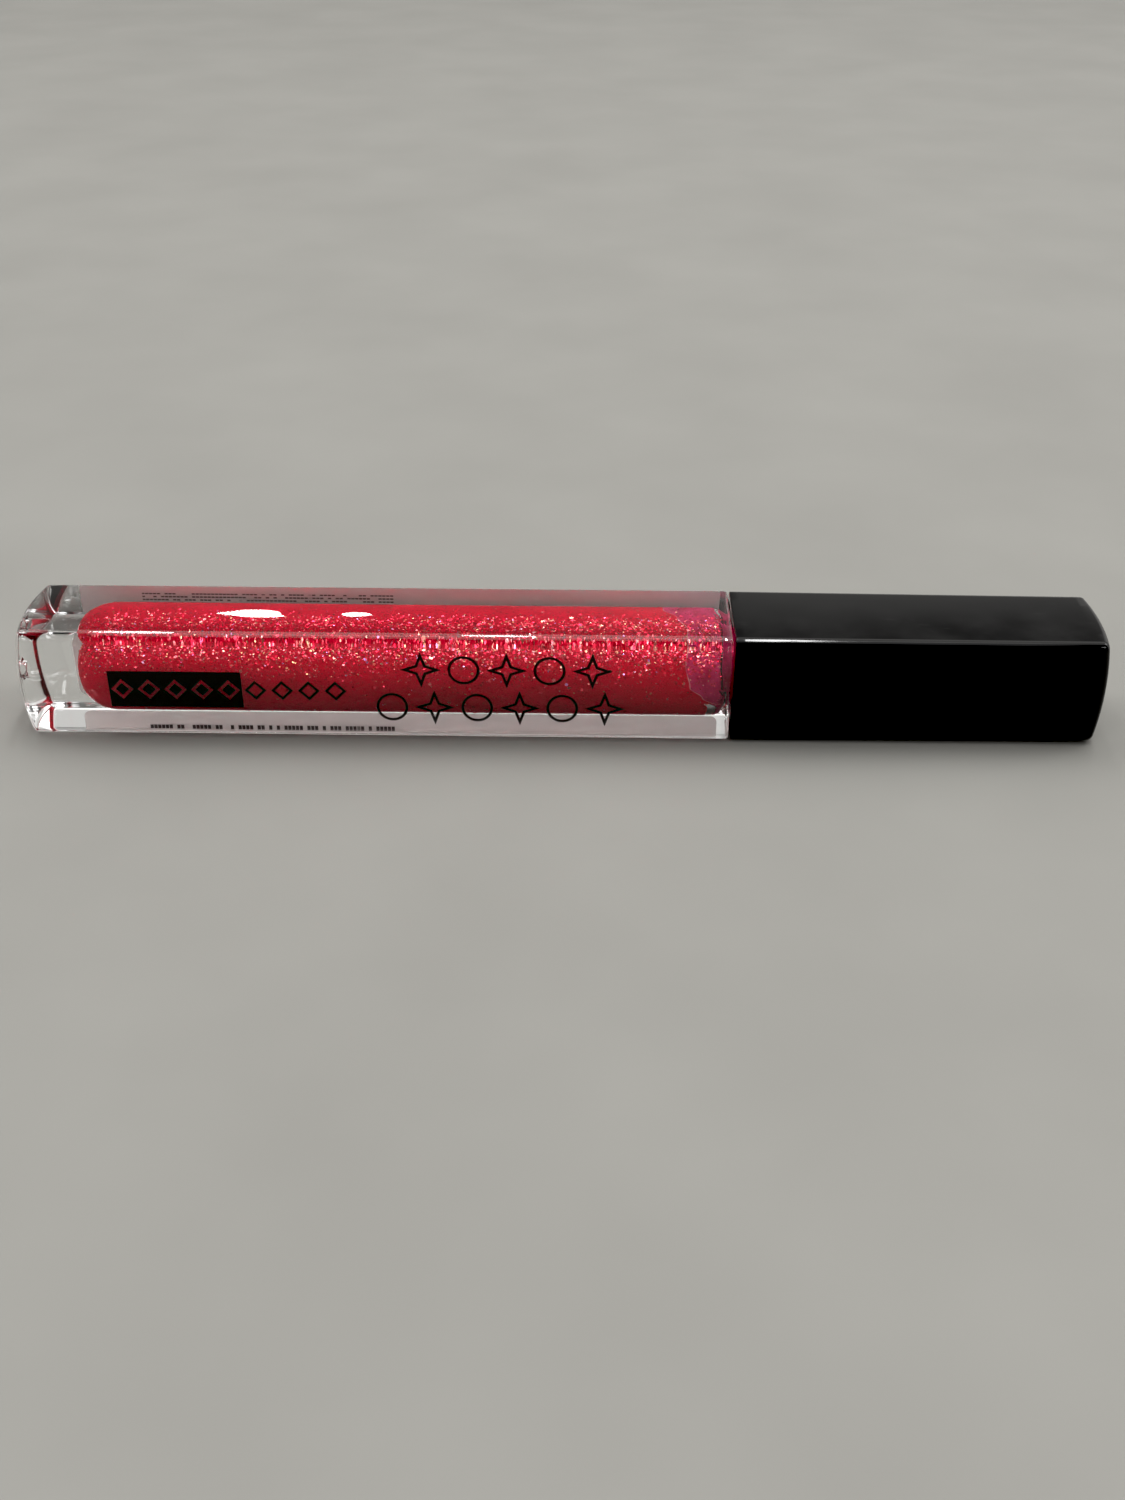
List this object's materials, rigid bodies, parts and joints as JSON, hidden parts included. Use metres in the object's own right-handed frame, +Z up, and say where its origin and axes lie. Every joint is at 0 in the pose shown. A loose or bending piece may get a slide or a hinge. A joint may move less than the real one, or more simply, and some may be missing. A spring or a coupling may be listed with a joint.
{
  "type": "lip gloss tube",
  "caption": "Slim square clear tube of glittery red lip gloss with a long glossy black square screw cap and a doe-foot wand inside.",
  "frame": {"origin": "under the middle of the tube's length, on the flat surface that it lies on", "axes": "+X along the tube from the bottle's base to the cap's closed end, +Y from the printed face to the one with the back label, +Z up from the face that it lies on"},
  "size_m": [0.113, 0.0121, 0.012],
  "materials": {
    "clear_plastic": "gloss",
    "gloss": "gloss",
    "glitter": "polished",
    "ink": "satin",
    "label_film": "satin",
    "wiper_plastic": "satin",
    "washer_foam": "matte",
    "stem_plastic": "satin",
    "cap_plastic": "gloss",
    "liner_plastic": "satin",
    "tip_rubber": "matte",
    "flock": "matte"
  },
  "bodies": {
    "bottle": {"bottle": "clear_plastic", "gloss_fill": "gloss", "wiper": "wiper_plastic", "printed_ornament": "ink", "back_label": "label_film"},
    "washer": {"sealing_washer": "washer_foam"},
    "stem": {"stem": "stem_plastic"},
    "cap": {"cap_shell": "cap_plastic", "inner_cap": "liner_plastic", "applicator_tip": "tip_rubber", "flocking": "flock"}
  },
  "joints": [
    {"name": "cap_pull", "type": "slide", "parent": "bottle", "child": "washer", "axis": [1, 0, 0], "range_m": [0, 0.078], "deforming": ["wiper"]},
    {"name": "thread_rise", "type": "slide", "parent": "washer", "child": "stem", "axis": [1, 0, 0], "range_m": [0, 0.00376]},
    {"name": "cap_turn", "type": "hinge", "parent": "stem", "child": "cap", "pos_m": [0.03, 0, 0.006], "axis": [1, 0, 0], "range_deg": [0, 540]}
  ],
  "couplings": [
    {"joint": "thread_rise", "follows": "cap_turn", "m_per_rad": 0.00039789}
  ]
}
